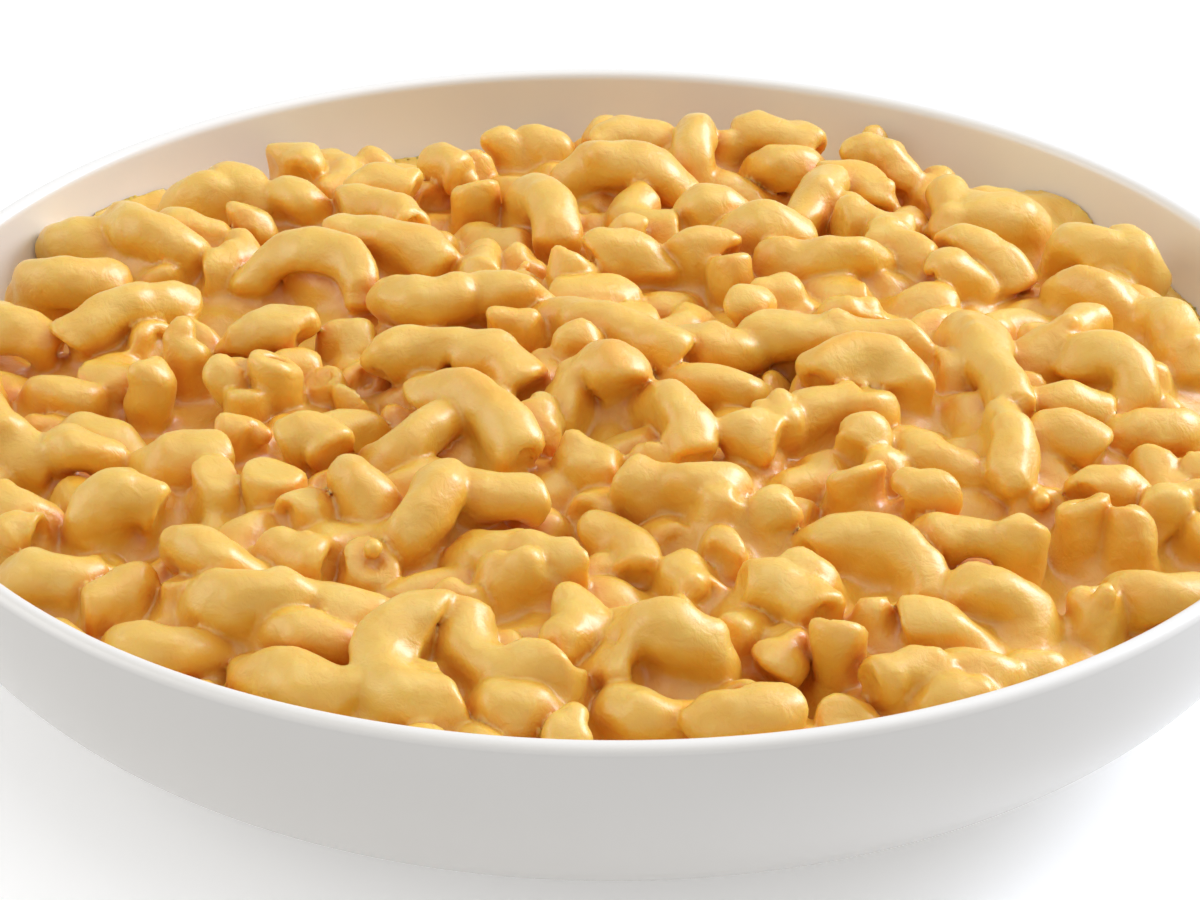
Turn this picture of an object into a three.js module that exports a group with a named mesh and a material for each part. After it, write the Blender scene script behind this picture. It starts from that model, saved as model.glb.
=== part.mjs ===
// A coupe bowl of creamy macaroni and cheese: a round glazed bowl on a low foot ring, and the heap
// of sauced elbow macaroni that fills it. Millimetres, +Z up, origin on the table under the bowl's axis.
import * as THREE from "three";

// Bowl
const RIM_RADIUS = 112;
const BOWL_HEIGHT = 44;
const RIM_THICKNESS = 3;
const FLOOR_THICKNESS = 4.5;
const FOOT_RADIUS = 57;
const FOOT_HEIGHT = 1.5;
const FOOT_WIDTH = 5;
const WALL_BELLY = 1.93; // exponent of the wall's superellipse across the bowl
const WALL_SPRING = 2.4; // exponent of the wall's superellipse up the bowl
const ROUND_SEGMENTS = 78; // half the points of the heap edge, so that their facets lie together
const WALL_STEPS = 8;
const LIP_STEPS = 3;

// Heap
const HEAP_GAP = 0.3; // clearance between the food and the glaze
const HEAP_EDGE_DROP = 11; // how far below the rim the sauce meets the wall
const HEAP_EDGE_WAVE = 1.6;
const HEAP_CROWN = 8; // rise of the heap from its edge to its middle
const HEAP_TOP_RINGS = 26;
const HEAP_SIDE_RINGS = 5;

// One cooked elbow with its coat of sauce
const TUBE_RADIUS = 3.9;
const BEND_RADIUS = 8.5;
const BEND_HALF_ANGLE = THREE.MathUtils.degToRad(62);
const ELBOW_SPACING = 12.5;
const ELBOW_LEVELS = 3.2; // spread of the heights at which elbows lie

const SEED = 7;

// Small repeatable random numbers from 0 to 1.
function randomFrom(seed) {
  let state = seed;
  return () => {
    state = (state + 0x6d2b79f5) | 0;
    let mixed = Math.imul(state ^ (state >>> 15), 1 | state);
    mixed = (mixed + Math.imul(mixed ^ (mixed >>> 7), 61 | mixed)) ^ mixed;
    return ((mixed ^ (mixed >>> 14)) >>> 0) / 4294967296;
  };
}

// The bowl's wall from its flat base up to the rim: a quarter superellipse, as (radius, height) points.
function wallCurve(flatRadius, baseHeight, topRadius, steps) {
  const points = [];
  for (let i = 0; i <= steps; i++) {
    const turn = (Math.PI / 2) * (1 - i / steps);
    const across = Math.cos(turn) ** (2 / WALL_BELLY);
    const down = Math.sin(turn) ** (2 / WALL_SPRING);
    points.push(
      new THREE.Vector2(
        flatRadius + (topRadius - flatRadius) * across,
        BOWL_HEIGHT - (BOWL_HEIGHT - baseHeight) * down,
      ),
    );
  }
  return points;
}

const OUTER_FLAT = FOOT_RADIUS + 1;
const INNER_FLAT = FOOT_RADIUS - 3;
const INNER_RIM_RADIUS = RIM_RADIUS - RIM_THICKNESS;
const INNER_FLOOR = FOOT_HEIGHT + FLOOR_THICKNESS;

// Radius of the bowl's inner wall at a height, from the superellipse's own equation.
function innerRadiusAt(height) {
  const down = (BOWL_HEIGHT - height) / (BOWL_HEIGHT - INNER_FLOOR);
  const sine = Math.min(1, Math.max(0, down)) ** (WALL_SPRING / 2);
  const across = Math.sqrt(1 - sine * sine) ** (2 / WALL_BELLY);
  return INNER_FLAT + (INNER_RIM_RADIUS - INNER_FLAT) * across;
}

// A profile of (radius, height) points turned round the bowl's axis.
function turned(profile) {
  return new THREE.LatheGeometry(profile, ROUND_SEGMENTS).rotateX(Math.PI / 2);
}

function bowlGeometry() {
  const lipRadius = RIM_THICKNESS / 2;
  const outer = wallCurve(OUTER_FLAT, FOOT_HEIGHT, RIM_RADIUS, WALL_STEPS);
  const inner = wallCurve(INNER_FLAT, INNER_FLOOR, INNER_RIM_RADIUS, WALL_STEPS);
  outer.pop();
  inner.pop();
  const lip = [];
  for (let i = 0; i <= 2 * LIP_STEPS; i++) {
    const turn = (Math.PI * i) / (2 * LIP_STEPS);
    lip.push(
      new THREE.Vector2(
        RIM_RADIUS - lipRadius + lipRadius * Math.cos(turn),
        BOWL_HEIGHT - lipRadius + lipRadius * Math.sin(turn),
      ),
    );
  }
  const profile = [
    new THREE.Vector2(0, FOOT_HEIGHT),
    new THREE.Vector2(FOOT_RADIUS - FOOT_WIDTH, FOOT_HEIGHT),
    new THREE.Vector2(FOOT_RADIUS - FOOT_WIDTH, 0),
    new THREE.Vector2(FOOT_RADIUS, 0),
    ...outer,
    ...lip,
    ...inner.reverse(),
    new THREE.Vector2(0, INNER_FLOOR),
  ];
  return turned(profile);
}

// Where each elbow lies: rings of evenly spaced places, each nudged, with its own heading and level.
function layElbows() {
  const random = randomFrom(SEED);
  const elbows = [];
  const reach = INNER_RIM_RADIUS - TUBE_RADIUS - 4;
  for (let ring = ELBOW_SPACING / 2; ring < reach; ring += ELBOW_SPACING * 0.85) {
    const count = Math.round((2 * Math.PI * ring) / ELBOW_SPACING);
    for (let i = 0; i < count; i++) {
      const bearing = (2 * Math.PI * (i + 0.6 * random())) / count;
      const radius = ring + ELBOW_SPACING * 0.3 * (random() - 0.5);
      elbows.push({
        x: radius * Math.cos(bearing),
        y: radius * Math.sin(bearing),
        heading: 2 * Math.PI * random(),
        level: ELBOW_LEVELS * (random() - 1),
      });
    }
  }
  return elbows;
}

// Height of the top of an elbow's bent tube over a point, or below zero where the tube isn't.
function tubeTop(elbow, x, y) {
  const middleX = elbow.x - BEND_RADIUS * Math.cos(elbow.heading);
  const middleY = elbow.y - BEND_RADIUS * Math.sin(elbow.heading);
  const bearing = Math.atan2(y - middleY, x - middleX) - elbow.heading;
  const swing = Math.atan2(Math.sin(bearing), Math.cos(bearing));
  const along = THREE.MathUtils.clamp(swing, -BEND_HALF_ANGLE, BEND_HALF_ANGLE) + elbow.heading;
  const away = Math.hypot(
    x - middleX - BEND_RADIUS * Math.cos(along),
    y - middleY - BEND_RADIUS * Math.sin(along),
  );
  return away < TUBE_RADIUS ? Math.sqrt(TUBE_RADIUS ** 2 - away ** 2) + elbow.level : -1;
}

const ELBOWS = layElbows();

// Relief of the heap over its smooth crown: the highest elbow over the point, or the sauce between.
function reliefAt(x, y) {
  return ELBOWS.reduce((top, elbow) => Math.max(top, tubeTop(elbow, x, y)), 0);
}

// Height at which the sauce meets the wall, which rises and falls a little round the bowl.
function edgeHeight(bearing) {
  const wave = 0.6 * Math.sin(3 * bearing + 0.7) + 0.4 * Math.sin(7 * bearing + 2.1);
  return BOWL_HEIGHT - HEAP_EDGE_DROP + HEAP_EDGE_WAVE * wave;
}

// A point of the heap's top, at a share of the way from the crown to the edge of the sauce.
function topPoint(share, bearing) {
  const edge = edgeHeight(bearing);
  const radius = share * (innerRadiusAt(edge) - HEAP_GAP);
  const x = radius * Math.cos(bearing);
  const y = radius * Math.sin(bearing);
  const evenEdge = BOWL_HEIGHT - HEAP_EDGE_DROP;
  const base = THREE.MathUtils.lerp(evenEdge, edge, share ** 3) + HEAP_GAP;
  const crown = HEAP_CROWN * (1 - share ** 2);
  const steady = Math.min(1, (1 - share) * 12); // no relief right at the wall
  return [x, y, base + crown + steady * reliefAt(x, y)];
}

// A point of the heap's side, at a share of the way down the wall from the sauce's edge to the floor.
function sidePoint(share, bearing) {
  const edge = edgeHeight(bearing);
  const height = THREE.MathUtils.lerp(edge, INNER_FLOOR, share ** 0.6);
  const radius = innerRadiusAt(height) - HEAP_GAP;
  return [radius * Math.cos(bearing), radius * Math.sin(bearing), height + HEAP_GAP];
}

// The heap as rings of points: ring n of the top has 6n points, so its triangles are all about one
// size, and the rings of the side go on from the last of them down the wall to a flat floor.
function heapGeometry() {
  const points = [topPoint(0, 0)];
  const triangles = [];
  const edgeCount = 6 * HEAP_TOP_RINGS;
  let inside = 0;
  for (let ring = 1; ring <= HEAP_TOP_RINGS; ring++) {
    const count = 6 * ring;
    const insideCount = Math.max(1, count - 6);
    const start = points.length;
    for (let i = 0; i < count; i++) {
      points.push(topPoint(ring / HEAP_TOP_RINGS, (2 * Math.PI * i) / count));
      const sector = Math.floor(i / ring);
      const near = inside + ((i - sector) % insideCount);
      const next = start + ((i + 1) % count);
      triangles.push(near, start + i, next);
      const isLastOfSector = i % ring === ring - 1;
      if (!isLastOfSector) triangles.push(near, next, inside + ((i - sector + 1) % insideCount));
    }
    inside = start;
  }
  for (let ring = 1; ring <= HEAP_SIDE_RINGS; ring++) {
    const start = points.length;
    for (let i = 0; i < edgeCount; i++) {
      points.push(sidePoint(ring / HEAP_SIDE_RINGS, (2 * Math.PI * i) / edgeCount));
      const next = (i + 1) % edgeCount;
      triangles.push(inside + i, start + i, start + next);
      triangles.push(inside + i, start + next, inside + next);
    }
    inside = start;
  }
  points.push([0, 0, INNER_FLOOR + HEAP_GAP]);
  for (let i = 0; i < edgeCount; i++) {
    triangles.push(inside + i, points.length - 1, inside + ((i + 1) % edgeCount));
  }
  const geometry = new THREE.BufferGeometry();
  geometry.setAttribute("position", new THREE.Float32BufferAttribute(points.flat(), 3));
  geometry.setIndex(triangles);
  geometry.computeVertexNormals();
  return geometry;
}

function namedMesh(name, geometry, material) {
  const mesh = new THREE.Mesh(geometry, material);
  mesh.name = name;
  return mesh;
}

const glaze = new THREE.MeshStandardMaterial({ color: 0xe9e5df, roughness: 0.3, metalness: 0 });
const sauce = new THREE.MeshStandardMaterial({ color: 0xf2b45c, roughness: 0.35, metalness: 0 });

const macAndCheese = new THREE.Group();
macAndCheese.add(namedMesh("bowl", bowlGeometry(), glaze));
macAndCheese.add(namedMesh("macaroni_heap", heapGeometry(), sauce));

export default macAndCheese;
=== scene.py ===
import math

import bpy
import numpy as np
from mathutils import Matrix, Vector


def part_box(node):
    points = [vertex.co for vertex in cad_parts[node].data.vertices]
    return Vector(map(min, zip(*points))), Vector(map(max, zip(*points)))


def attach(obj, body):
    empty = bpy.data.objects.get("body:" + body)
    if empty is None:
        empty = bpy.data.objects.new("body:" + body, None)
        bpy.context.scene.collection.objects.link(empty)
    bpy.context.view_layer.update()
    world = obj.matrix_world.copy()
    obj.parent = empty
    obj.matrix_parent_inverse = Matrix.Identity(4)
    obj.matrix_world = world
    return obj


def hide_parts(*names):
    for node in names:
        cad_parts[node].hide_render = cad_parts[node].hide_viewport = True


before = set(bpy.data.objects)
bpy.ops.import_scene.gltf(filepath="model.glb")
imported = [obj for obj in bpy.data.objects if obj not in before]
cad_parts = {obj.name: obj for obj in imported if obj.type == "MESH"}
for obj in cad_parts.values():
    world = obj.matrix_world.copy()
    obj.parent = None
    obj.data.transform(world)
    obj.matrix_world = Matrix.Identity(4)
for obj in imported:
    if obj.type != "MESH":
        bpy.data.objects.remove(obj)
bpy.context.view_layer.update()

bl_info = {
    "name": "Macaroni and Cheese Bowl",
    "version": (1, 0, 0),
    "blender": (4, 5, 0),
    "location": "3D View > Sidebar > Macaroni",
    "description": "A glazed coupe bowl filled with sauced elbow macaroni, built round its CAD frame",
    "category": "Object",
}

# Lengths are millimetres in the shape functions, and metres once they are in a mesh.
MM = 0.001
BOWL_BOX = np.array(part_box("bowl")) / MM
RIM_RADIUS = float(BOWL_BOX[1, 0])
BOWL_HEIGHT = float(BOWL_BOX[1, 2])
VIEW_ELEVATION = math.radians(27.31)  # of the camera over the middle of the rim


# ---- settings

def colour_setting(name, description, default):
    """Property that holds one colour."""
    return bpy.props.FloatVectorProperty(
        name=name, description=description, subtype="COLOR", size=3, default=default)


class BowlSettings(bpy.types.PropertyGroup):
    """Sizes and glaze of the bowl."""
    rim_thickness: bpy.props.FloatProperty(
        name="Rim thickness", description="Width of the rounded lip in millimetres", default=3.0)
    foot_radius: bpy.props.FloatProperty(
        name="Foot radius", description="Outer radius of the foot ring in millimetres", default=57.0)
    glaze_colour: colour_setting("Glaze", "Colour of the glaze", (0.82, 0.795, 0.755))
    # Painted shade: how much the glaze colour is darkened on the outside of the bowl, where less light falls.
    outside_painted_shade: bpy.props.FloatProperty(
        name="Outside tone", description="Brightness of the glaze outside, as a share of that inside",
        default=0.68, min=0, max=1, subtype="FACTOR")


class HeapSettings(bpy.types.PropertyGroup):
    """Sizes of the pasta, how it lies and how the sauce covers it."""
    elbow_count: bpy.props.IntProperty(
        name="Elbows", description="Number of loose elbows settled under and between the placed ones",
        default=270)
    seed: bpy.props.IntProperty(
        name="Seed", description="Start of the repeatable random numbers", default=11)
    cell: bpy.props.FloatProperty(
        name="Cell", description="Grid step of the sauced surface in millimetres", default=0.72)
    sauce_colour: colour_setting("Sauce", "Colour of the sauce on the elbows' sides", (0.80, 0.45, 0.04))
    # Painted highlight: a paler, creamier sauce colour that the material puts on the open tops, where light
    # falls most.
    painted_top_highlight: colour_setting("Tops", "Colour of the sauce on open tops", (0.79, 0.515, 0.085))
    # Painted shade: a darker, redder sauce colour that the material puts between the elbows, where shade
    # falls.
    painted_crevice_shade: colour_setting("Crevice", "Colour of the sauce between elbows", (0.77, 0.38, 0.035))


class StageSettings(bpy.types.PropertyGroup):
    """Camera, lights and floor."""
    lens: bpy.props.FloatProperty(
        name="Lens", description="Focal length in millimetres on a 36 mm sensor", default=153.7)
    distance: bpy.props.FloatProperty(
        name="Distance", description="From the camera to the middle of the rim", default=0.784,
        unit="LENGTH")
    elevation: bpy.props.FloatProperty(
        name="Elevation", description="Angle of the camera above the rim's middle",
        default=VIEW_ELEVATION, subtype="ANGLE")
    key_power: bpy.props.FloatProperty(
        name="Key light", description="Power of the light from the right in watts", default=15.5)


# ---- meshes

def smooth_mesh(name, points, face_groups, material):
    """Mesh from points in millimetres and arrays of faces, each array of faces with as many sides."""
    mesh = bpy.data.meshes.new(name)
    corners = np.concatenate([faces.ravel() for faces in face_groups]).astype(np.int32)
    sides = np.concatenate([np.full(len(faces), faces.shape[1], dtype=np.int32) for faces in face_groups])
    mesh.vertices.add(len(points))
    mesh.vertices.foreach_set("co", (points * MM).astype(np.float32).ravel())
    mesh.loops.add(len(corners))
    mesh.loops.foreach_set("vertex_index", corners)
    mesh.polygons.add(len(sides))
    mesh.polygons.foreach_set("loop_start", (np.cumsum(sides) - sides).astype(np.int32))
    mesh.polygons.foreach_set("loop_total", sides)
    mesh.polygons.foreach_set("use_smooth", np.ones(len(sides), dtype=bool))
    mesh.update(calc_edges=True)
    mesh.validate()
    mesh.materials.append(material)
    return mesh


def linked(name, data):
    """New object of the scene that shows a mesh, a light or a camera."""
    piece = bpy.data.objects.new(name, data)
    bpy.context.scene.collection.objects.link(piece)
    return piece


def store(mesh, name, values):
    """Keep one number for each of a mesh's points, for its material to read."""
    layer = mesh.attributes.new(name, "FLOAT", "POINT")
    layer.data.foreach_set("value", values.astype(np.float32))


# ---- bowl

WALL_BELLY = 1.93
WALL_SPRING = 2.4
FOOT_HEIGHT = 1.5
FOOT_WIDTH = 5.0
FLOOR_THICKNESS = 4.5
INNER_FLAT = 54.0
OUTER_FLAT = 58.0
INNER_FLOOR = FOOT_HEIGHT + FLOOR_THICKNESS
FOOT_ROUND = 0.7  # rounding of the foot ring's edges
WALL_STEPS = 60
LIP_STEPS = 17
FOOT_STEPS = 5
BOWL_SEGMENTS = 240
FLAT_RING = 20  # radius of one more ring of points in each flat, which keeps its faces short
LIP_LINE = 0.5  # how far below the rim the painted shade on the outside starts to fade
PAINTED_SHADE_FADE = 1.5  # thickness of glazed wall over which it comes in


def wall_curve(flat_radius, base_height, top_radius, steps):
    """Wall from the flat base up to the rim, a quarter superellipse: the radius grows with the cosine
    and the height falls with the sine of one angle, each raised to its own power."""
    angle = np.linspace(np.pi / 2, 0, steps)
    across = np.cos(angle).clip(0) ** (2 / WALL_BELLY)
    down = np.sin(angle) ** (2 / WALL_SPRING)
    radius = flat_radius + (top_radius - flat_radius) * across
    height = BOWL_HEIGHT - (BOWL_HEIGHT - base_height) * down
    return np.stack([radius, height], 1)


def inner_radius_at(height, rim_thickness=3.0):
    """Radius of the inner wall at a height, solved from the superellipse's own equation."""
    down = ((BOWL_HEIGHT - height) / (BOWL_HEIGHT - INNER_FLOOR)).clip(0, 1)
    sine = down ** (WALL_SPRING / 2)
    across = np.sqrt(1 - sine ** 2) ** (2 / WALL_BELLY)
    return INNER_FLAT + (RIM_RADIUS - rim_thickness - INNER_FLAT) * across


def turned(profile, segments):
    """Surface of two parameters: the profile's (radius, height) at every bearing round the axis. The
    first and last profile points lie on the axis and are single poles, and the seam is shared."""
    bearing = np.linspace(0, 2 * np.pi, segments, endpoint=False)
    ring = profile[1:-1]
    points = np.stack([
        ring[:, :1] * np.cos(bearing), ring[:, :1] * np.sin(bearing),
        np.repeat(ring[:, 1:], segments, 1)], -1).reshape(-1, 3)
    points = np.concatenate([points, [[0, 0, profile[0, 1]], [0, 0, profile[-1, 1]]]])
    row, column = np.meshgrid(np.arange(len(ring) - 1), np.arange(segments), indexing="ij")
    here = row * segments + column
    beside = row * segments + (column + 1) % segments
    quads = np.stack([here, beside, beside + segments, here + segments], -1).reshape(-1, 4)
    turn = np.arange(segments)
    after = (turn + 1) % segments
    last = (len(ring) - 1) * segments
    first_pole = np.stack([np.full(segments, len(points) - 2), after, turn], 1)
    last_pole = np.stack([np.full(segments, len(points) - 1), last + turn, last + after], 1)
    return points, (quads, first_pole, last_pole)


def arc(centre, radius, start, end, steps):
    """Round stretch of a profile, by the angle from start to end in degrees."""
    angle = np.radians(np.linspace(start, end, steps))
    return np.stack([centre[0] + radius * np.cos(angle), centre[1] + radius * np.sin(angle)], 1)


def bowl_profile(settings):
    """Outline of half the bowl, from the axis under it, over the foot ring, up the outer wall, over the
    rounded lip, down the inner wall and back to the axis."""
    lip = settings.rim_thickness / 2
    foot = settings.foot_radius
    soft = FOOT_ROUND
    inside_foot = foot - FOOT_WIDTH
    outer = wall_curve(OUTER_FLAT, FOOT_HEIGHT, RIM_RADIUS, WALL_STEPS)[:-1]
    inner = wall_curve(INNER_FLAT, INNER_FLOOR, RIM_RADIUS - settings.rim_thickness, WALL_STEPS)[-2::-1]
    wall_top = BOWL_HEIGHT - lip - 0.3
    return np.concatenate([
        [[0, FOOT_HEIGHT], [FLAT_RING, FOOT_HEIGHT], [inside_foot - 2 * soft, FOOT_HEIGHT]],
        arc((inside_foot - soft, FOOT_HEIGHT - soft), soft, 90, 0, FOOT_STEPS),
        arc((inside_foot + soft, soft), soft, 180, 270, FOOT_STEPS),
        arc((foot - soft, soft), soft, 270, 360, FOOT_STEPS),
        outer[outer[:, 1] < wall_top],
        arc((RIM_RADIUS - lip, BOWL_HEIGHT - lip), lip, 0, 180, LIP_STEPS),
        inner[inner[:, 1] < wall_top],
        [[2 * FLAT_RING, INNER_FLOOR], [FLAT_RING, INNER_FLOOR], [0, INNER_FLOOR]],
    ])


# ---- elbows

PATH_BEADS = 5  # beads along an elbow while it is settled
PATH_POINTS = 9  # points along a settled elbow
SETTLE_STEPS = 170
SETTLE_ROUNDS = 3  # partings of the beads in each step
SETTLE_LIFT = 0.05  # rise of the loose elbows in each step
NEAR_BEADS = 9.5  # beads this close may come to touch
OVERSHOOT = 1.4  # how much harder than needed overlapping beads are parted
WALL_GAP = 0.4  # between a bead and the wall
BEAD_SHARE = 0.93  # bead radius as a share of the tube's, so that coats merge
SLAB_DEPTH = 13.0  # of the layer of whole elbows under the top of the heap
SCATTER_RADIUS = 97  # of the disc where loose elbows start
BEARING_NUDGE = 0.25  # spread of their bearings round an even spiral, in radians
TURN_SPREAD = (1, 0.75, 0.75, 1)  # of their turns' quaternions, which leans them toward lying flat
SEEN_BEHIND = 2  # how far behind its place a loose elbow shows on the rim's level
HALF_ANGLES = (34, 72)  # of the bends of loose elbows, in degrees
BENDS = (5.8, 9.0)  # their radii
TUBES = (3.3, 4.15)  # the radii of their tubes
LIFTS = (-6.5, -2.0)  # how high they may lie, from the tops
FILLED_SHARE = 0.3  # share of the loose elbows with sauce inside the bend
OPEN_SHARE = 0.04  # share of their ends that are open
LOOSE_BORE = 2.6  # depth of the bore in an open end of theirs
DIMPLES = (-0.8, 1.2)  # depths of the bores in the other ends, none where below zero
SHORT_SHARE = 0.3  # share of the loose elbows that are short
SHORT_LENGTH = 0.45  # their length as a share of a whole one's
SHORT_LIFT = 2.5  # how much higher they may lie
TUBE_SHARE = 0.94  # placed tube's radius as a share of the one that shows with its coat
LAID_REACH = 0.3  # how far a laid elbow goes past its end points
STOOD_REACH = 0.6  # and a standing one
OPEN_DEPTH = 3.2  # of the bore in a placed elbow's open end
STOOD_DROP = 0.92  # drop of a standing elbow as a share of the one that its height in view gives
BEAD_REACH = 0.9  # how far along the half arc the outer beads stand
NEIGHBOUR_STEPS = 6  # steps after which the near beads are looked up again
SWELL_SIZES = (0.1, 0.45)  # how much thicker and thinner a tube gets along its length
CUT_TILT = 0.2  # spread of the tilts of the cut ends
CROWN_HEIGHT = 47.2  # of the heap's crown in the middle
CROWN_FALL = 6.2  # how much lower it is at CROWN_RADIUS
CROWN_RADIUS = 100
CROWN_POWER = 2.4


def heap_top(x, y):
    """Height that the tops of the elbows reach: the crown, with broad swells made of two crossing waves
    and one slanting wave."""
    swell = np.sin(x / 17 + 0.6) * np.sin(y / 21 - 0.4) + 0.6 * np.sin((x + y) / 13 + 2.0)
    return heap_crown(x, y) + 0.9 * swell


# Where only sauce shows, or a gap stays open between the placed elbows, as (x, y, radius).
SMOOTH_PLACES = (
    (-80, 60, 14), (70, 62, 14), (-62, -17, 10), (-41, -47, 8), (-61, -47, 7), (-86, 24, 9), (-50, 28, 12),
    (28, -1, 9), (-32, -22, 6), (-69, -74, 7), (25, -84, 9), (0, -88, 7), (87, -11, 7), (68, -61, 8),
    (52, -56, 7), (38, -92, 9), (40, -68, 9), (-22, 55, 6), (52, 10, 5), (20, -52, 7), (33, -28, 8),
)


def irregularity(count, most_squash, random):
    """What makes every elbow a little different: how flat its tube is and which way, how its width
    swells along it, and how its two ends are cut."""
    return {
        "squash": random.uniform(1.0, most_squash, count),
        "squash_turn": random.uniform(0, np.pi, count),
        "swell": random.uniform(*SWELL_SIZES, count),
        "swell_phase": random.uniform(0, 2 * np.pi, count),
        "cut_tilt": random.normal(0, CUT_TILT, (count, 2, 2)),
    }


def loose_elbows(count, random):
    """Sizes and first places of the loose elbows: scattered evenly over the bowl, turned every way."""
    share = np.sqrt((np.arange(count) + 0.5) / count)
    bearing = np.arange(count) * math.pi * (3 - math.sqrt(5)) + random.normal(0, BEARING_NUDGE, count)
    radius = SCATTER_RADIUS * share
    x = radius * np.cos(bearing)
    y = radius * np.sin(bearing)
    z = heap_top(x, y) - SLAB_DEPTH * random.random(count)
    turn = random.normal(size=(count, 4)) * np.array(TURN_SPREAD)
    half = np.radians(random.uniform(*HALF_ANGLES, count))
    short = random.random(count) < SHORT_SHARE
    half[short] *= SHORT_LENGTH
    lift = random.uniform(*LIFTS, count)
    lift[short] += SHORT_LIFT
    elbows = {
        "place": np.stack([x, y, z], 1),
        "axes": rotations(turn),
        "bend": random.uniform(*BENDS, count),
        "half": half,
        "tube": random.uniform(*TUBES, count),
        **irregularity(count, 1.16, random),
        "lift": lift,
        "filled": random.random(count) < FILLED_SHARE,
        "hole": np.where(
            random.random((count, 2)) < OPEN_SHARE, LOOSE_BORE, random.uniform(*DIMPLES, (count, 2))),
    }
    seen_y = y + SEEN_BEHIND
    kept = np.all([
        np.hypot(x - place_x, seen_y - place_y) > radius for place_x, place_y, radius in SMOOTH_PLACES],
        axis=0)
    return {name: values[kept] for name, values in elbows.items()}
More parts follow.
